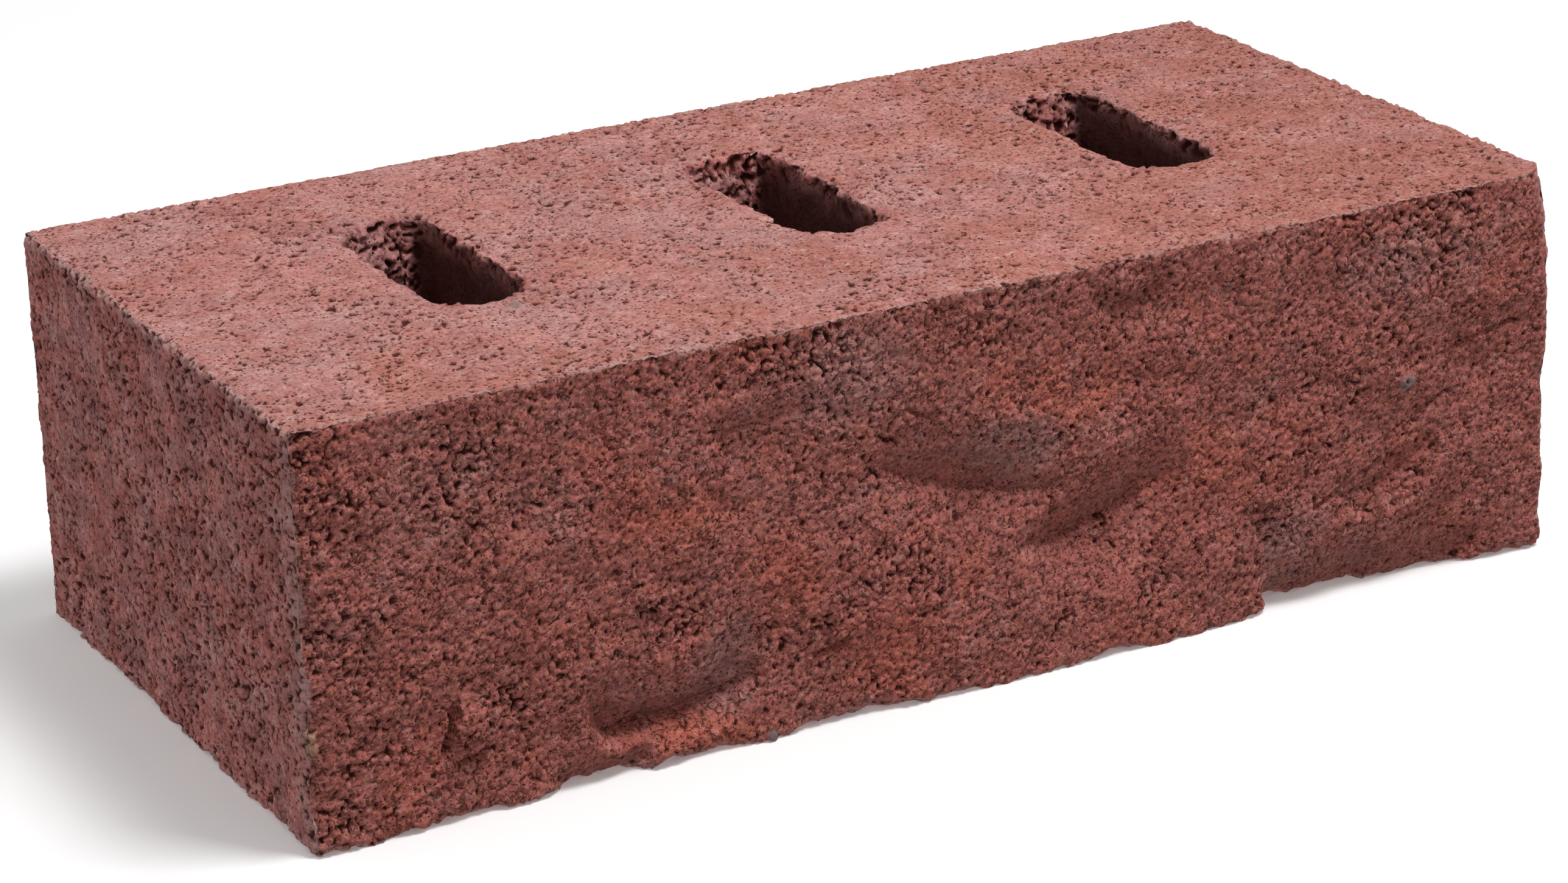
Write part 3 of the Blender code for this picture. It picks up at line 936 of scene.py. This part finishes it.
# painted shade inside pinholes
PIT_SHADE = (0.15, 0.033, 0.022, 1.0)
FRESH = (0.34, 0.100, 0.072, 1.0)
BRICK_RED = (0.60, 0.165, 0.118, 1.0)
RED_BROWN = (0.50, 0.162, 0.134, 1.0)
MAUVE = (0.54, 0.268, 0.250, 1.0)
# pale grain tone, partly a painted highlight of lit grain tops
GRAIN_TONE_AND_HIGHLIGHT = (0.60, 0.300, 0.272, 1.0)
# painted shade in holes and crevices
CREVICE_SHADE = (0.075, 0.015, 0.010, 1.0)
DUSTY = (0.60, 0.395, 0.375, 1.0)
# painted shade of the slots' walls
WALL_SHADE = (0.06, 0.016, 0.012, 1.0)
SPARKLE = (0.62, 0.50, 0.48, 1.0)
TAN_STONE = (0.55, 0.32, 0.22, 1.0)
GREY_STONE = (0.28, 0.23, 0.23, 1.0)


def brick_material():
    g = Graph("pressed_brick")
    split, cavity_shade, bloom = g.mask("split"), g.mask("cavity_shade"), g.mask("bloom")
    calm, worn, wall, lit = g.mask("calm"), g.mask("worn"), g.mask("wall"), g.mask("lit")
    mottle = g.noise(2.2 * MM, 5, 0.7, 0.5)
    fine = g.noise(0.7 * MM, 4, 0.8, 0.9)
    red, green, blue = g.add("ShaderNodeSeparateColor", {0: g.cells(1.0 * MM, "Color", 0.7)}).outputs[:3]

    # pressed faces: a pale dusty bed, darker sides
    bed = g.blend(g.ramp(g.noise(34 * MM, 3), 0.38, 0.62), SALMON, ROSE)
    along = g.add("ShaderNodeSeparateXYZ", {0: g.places}).outputs
    fresh = g.math("ADD", g.ramp(along["X"], -90 * MM, 110 * MM, -0.06, 0.14), g.noise(15 * MM, 4, 0.6, 0.3))
    fresh = g.math("ADD", fresh, g.ramp(along["Y"], -50 * MM, -10 * MM, 0.08, 0.0))
    bed = g.blend(g.ramp(fresh, 0.36, 0.74, 0.0, 0.9), bed, ORANGE)
    side = g.blend(g.ramp(g.noise(12 * MM, 4, 0.6, 0.3), 0.42, 0.60), SIDE, SIDE_MAUVE)
    pressed = g.blend(bloom, side, bed)
    pressed = g.blend(g.ramp(mottle, 0.52, 0.70, 0.0, g.blend_value(bloom, 0.8, 0.6)), pressed, PALE)
    pressed = g.blend(g.ramp(mottle, 0.30, 0.54, g.blend_value(bloom, 0.75, 0.5), 0.0), pressed, FRESH)
    broad = g.noise(6 * MM, 4, 0.65, 8.8)
    pressed = g.shade(pressed, g.ramp(broad, 0.35, 0.65, g.blend_value(bloom, 0.76, 0.92), 1.10))
    pressed = g.blend(g.ramp(fine, 0.32, 0.50, 0.55, 0.0), pressed, FRESH)
    pressed = g.shade(pressed, g.ramp(fine, 0.32, 0.68, 0.88, 1.36))
    pressed = g.shade(pressed, g.ramp(along["X"], 10 * MM, 115 * MM, 1.0, 0.93))
    # painted shade: dark specks for the pinholes of the pressed faces, which the bump also sinks
    specks = g.ramp(g.cells(0.95 * MM, bend=0.3 * MM), 0.17, 0.28, 1.0, 0.0)
    patchy = g.ramp(g.noise(4 * MM, 4, 0.7, 1.4), 0.36, 0.52)
    specks = g.math("MULTIPLY", specks, patchy)
    pressed = g.blend(g.math("MULTIPLY", specks, 0.85), pressed, PIT_SHADE)

    # split face
    red_share = g.ramp(g.noise(17 * MM, 4, 0.6, 2.0), 0.46, 0.68, 0.0, 0.5)
    red_share = g.math("ADD", red_share, g.mask("redness"))
    grey_share = g.ramp(g.noise(13 * MM, 4, 0.6, 3.1), 0.48, 0.70, 0.0, 0.5)
    grey_share = g.math("ADD", grey_share, g.mask("greyness"))
    broken = g.blend(g.ramp(red_share, 0.0, 1.0), RED_BROWN, BRICK_RED)
    broken = g.blend(g.ramp(grey_share, 0.0, 1.0, 0.0, 0.72), broken, MAUVE)
    broken = g.shade(broken, g.ramp(red, 0.0, 1.0, 0.86, 1.16))
    broken = g.blend(g.ramp(green, 0.90, 0.94, 0.0, 0.22), broken, PALE)
    broken = g.blend(g.ramp(blue, 0.84, 0.88, 0.0, 0.5), broken, BRICK_RED)
    # fine flecks: partly the grains' own tone, partly painted shade between grains and painted highlight on
    # their tops
    broken = g.shade(broken, g.ramp(fine, 0.32, 0.68, 0.60, 1.34))
    broken = g.blend(g.ramp(fine, 0.50, 0.72, 0.0, 0.6), broken, GRAIN_TONE_AND_HIGHLIGHT)
    # painted shade: dark pinholes and crevice lines on the split face, which the bump also sinks
    pin = g.ramp(g.cells(0.85 * MM, shift=2.2, bend=0.25 * MM), 0.14, 0.27, 1.0, 0.0)
    crack = g.cells(1.7 * MM, shift=1.3, feature="DISTANCE_TO_EDGE", bend=0.9 * MM)
    crack = g.ramp(crack, 0.02, 0.12, 1.0, 0.0)
    crack = g.math("MULTIPLY", crack, g.ramp(g.noise(2.0 * MM, 4, 0.7, 7.7), 0.48, 0.62))
    crack = g.math("MULTIPLY", crack, g.math("SUBTRACT", 1.0, g.math("MULTIPLY", calm, 0.8)))
    broken = g.blend(g.math("MULTIPLY", pin, 0.88), broken, PIT_SHADE)
    broken = g.blend(g.math("MULTIPLY", crack, 0.6), broken, CREVICE_SHADE)
    # painted shade: the hollows' insides darkened, where their down-facing slopes lie in shade
    broken = g.shade(broken, g.ramp(calm, 0.0, 1.0, 1.0, 0.76))
    sparkle = g.ramp(g.cells(1.9 * MM, shift=4.2), 0.05, 0.08, 1.0, 0.0)
    sparkle = g.math("MULTIPLY", sparkle, g.ramp(g.noise(3 * MM, 1, 0.5, 5.0), 0.56, 0.60))
    broken = g.blend(g.math("MULTIPLY", sparkle, 0.6), broken, SPARKLE)

    colour = g.blend(split, pressed, broken)
    dusty = g.math("MULTIPLY", worn, g.ramp(g.noise(4 * MM, 4, 0.6, 6.0), 0.35, 0.65, 0.25, 0.85))
    colour = g.blend(g.math("MULTIPLY", dusty, 0.85), colour, DUSTY)
    # painted shade: the slots' walls darkened almost to black, except where light reaches the upper back end
    # and the rim
    shaded = g.math("SUBTRACT", wall, g.math("MULTIPLY", lit, 0.85))
    colour = g.blend(g.math("MULTIPLY", shaded, 0.88), colour, WALL_SHADE)
    colour = g.blend(g.math("MULTIPLY", g.mask("tan"), 0.85), colour, TAN_STONE)
    colour = g.blend(g.math("MULTIPLY", g.mask("grey"), 0.8), colour, GREY_STONE)
    # painted shade: holes and crevices darkened towards a deep red-brown
    colour = g.blend(g.ramp(cavity_shade, 0.07, 0.72, 0.0, 0.93), colour, CREVICE_SHADE)
    g.put(g.shader.inputs["Base Color"], colour)
    g.put(g.shader.inputs["Roughness"], g.ramp(g.noise(1.5 * MM, 3), 0.3, 0.7, 0.84, 0.97))
    g.shader.inputs["Specular IOR Level"].default_value = 0.1

    holes = g.math("ADD", g.math("MULTIPLY", pin, 0.5), crack)
    relief = g.math("SUBTRACT", g.noise(0.5 * MM, 4, 0.75), g.blend_value(split, specks, holes))
    bump = g.add("ShaderNodeBump", {"Height": relief, "Strength": 1.0, "Distance": 0.45 * MM})
    g.put(g.shader.inputs["Normal"], bump.outputs["Normal"])
    return g.material


# ---------------------------------------------------------------- studio


def camera():
    a, e, roll = (math.radians(value) for value in (AZIMUTH, ELEVATION, ROLL))
    back = Vector((math.sin(a) * math.cos(e), -math.cos(a) * math.cos(e), math.sin(e)))
    right = (-back).cross(Vector((0, 0, 1))).normalized()
    up = right.cross(-back)
    turned_right = right * math.cos(roll) + up * math.sin(roll)
    turned_up = up * math.cos(roll) - right * math.sin(roll)
    place = back * DISTANCE + turned_right * AIM_RIGHT + turned_up * AIM_UP + Vector((0, 0, HEIGHT / 2))
    data = bpy.data.cameras.new("camera")
    data.lens = LENS
    data.sensor_width = SENSOR
    made = bpy.data.objects.new("camera", data)
    made.matrix_world = Matrix((turned_right, turned_up, back)).transposed().to_4x4()
    made.matrix_world.translation = place
    bpy.context.scene.collection.objects.link(made)
    bpy.context.scene.camera = made


def key_light():
    data = bpy.data.lights.new("key", "AREA")
    data.shape = "RECTANGLE"
    data.size = data.size_y = KEY_SIZE
    data.energy = KEY_POWER
    made = bpy.data.objects.new("key", data)
    made.location = KEY_PLACE
    made.rotation_euler = (Vector(KEY_PLACE) - Vector(KEY_TARGET)).to_track_quat("Z", "Y").to_euler()
    bpy.context.scene.collection.objects.link(made)


def white_floor():
    side = FLOOR_HALF_SIDE
    floor = box_between("floor", (-side, -side, -FLOOR_THICKNESS), (side, side, 0.0))
    g = Graph("floor_white")
    tone = g.ramp(g.noise(0.35, 2), 0.3, 0.7, 0.96, 0.98)
    g.put(g.shader.inputs["Base Color"], g.shade(WHITE, tone))
    for socket, value in {"Roughness": 0.9, "Emission Color": WHITE, "Emission Strength": FLOOR_GLOW}.items():
        g.shader.inputs[socket].default_value = value
    floor.data.materials.append(g.material)
    # the white floor would flood the sides from below: the surround's own dim lower half lights them instead
    floor.visible_diffuse = False


def surround():
    """A world that is a little dimmer below than above."""
    world = bpy.data.worlds.new("studio")
    bpy.context.scene.world = world
    world.use_nodes = True
    nodes, links = world.node_tree.nodes, world.node_tree.links
    direction = nodes.new("ShaderNodeSeparateXYZ")
    links.new(nodes.new("ShaderNodeTexCoord").outputs["Generated"], direction.inputs[0])
    height = nodes.new("ShaderNodeMapRange")
    links.new(direction.outputs["Z"], height.inputs["Value"])
    for socket, value in {"From Min": -1.0, "From Max": 1.0, "To Min": SKY_LOW, "To Max": SKY_HIGH}.items():
        height.inputs[socket].default_value = value
    links.new(height.outputs["Result"], nodes["Background"].inputs["Strength"])
    nodes["Background"].inputs["Color"].default_value = WHITE


skin = brick_object()
skin.data.materials.append(brick_material())
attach(skin, "root")
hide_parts("brick")
white_floor()
surround()
key_light()
camera()
bpy.context.scene.view_settings.view_transform = "Standard"
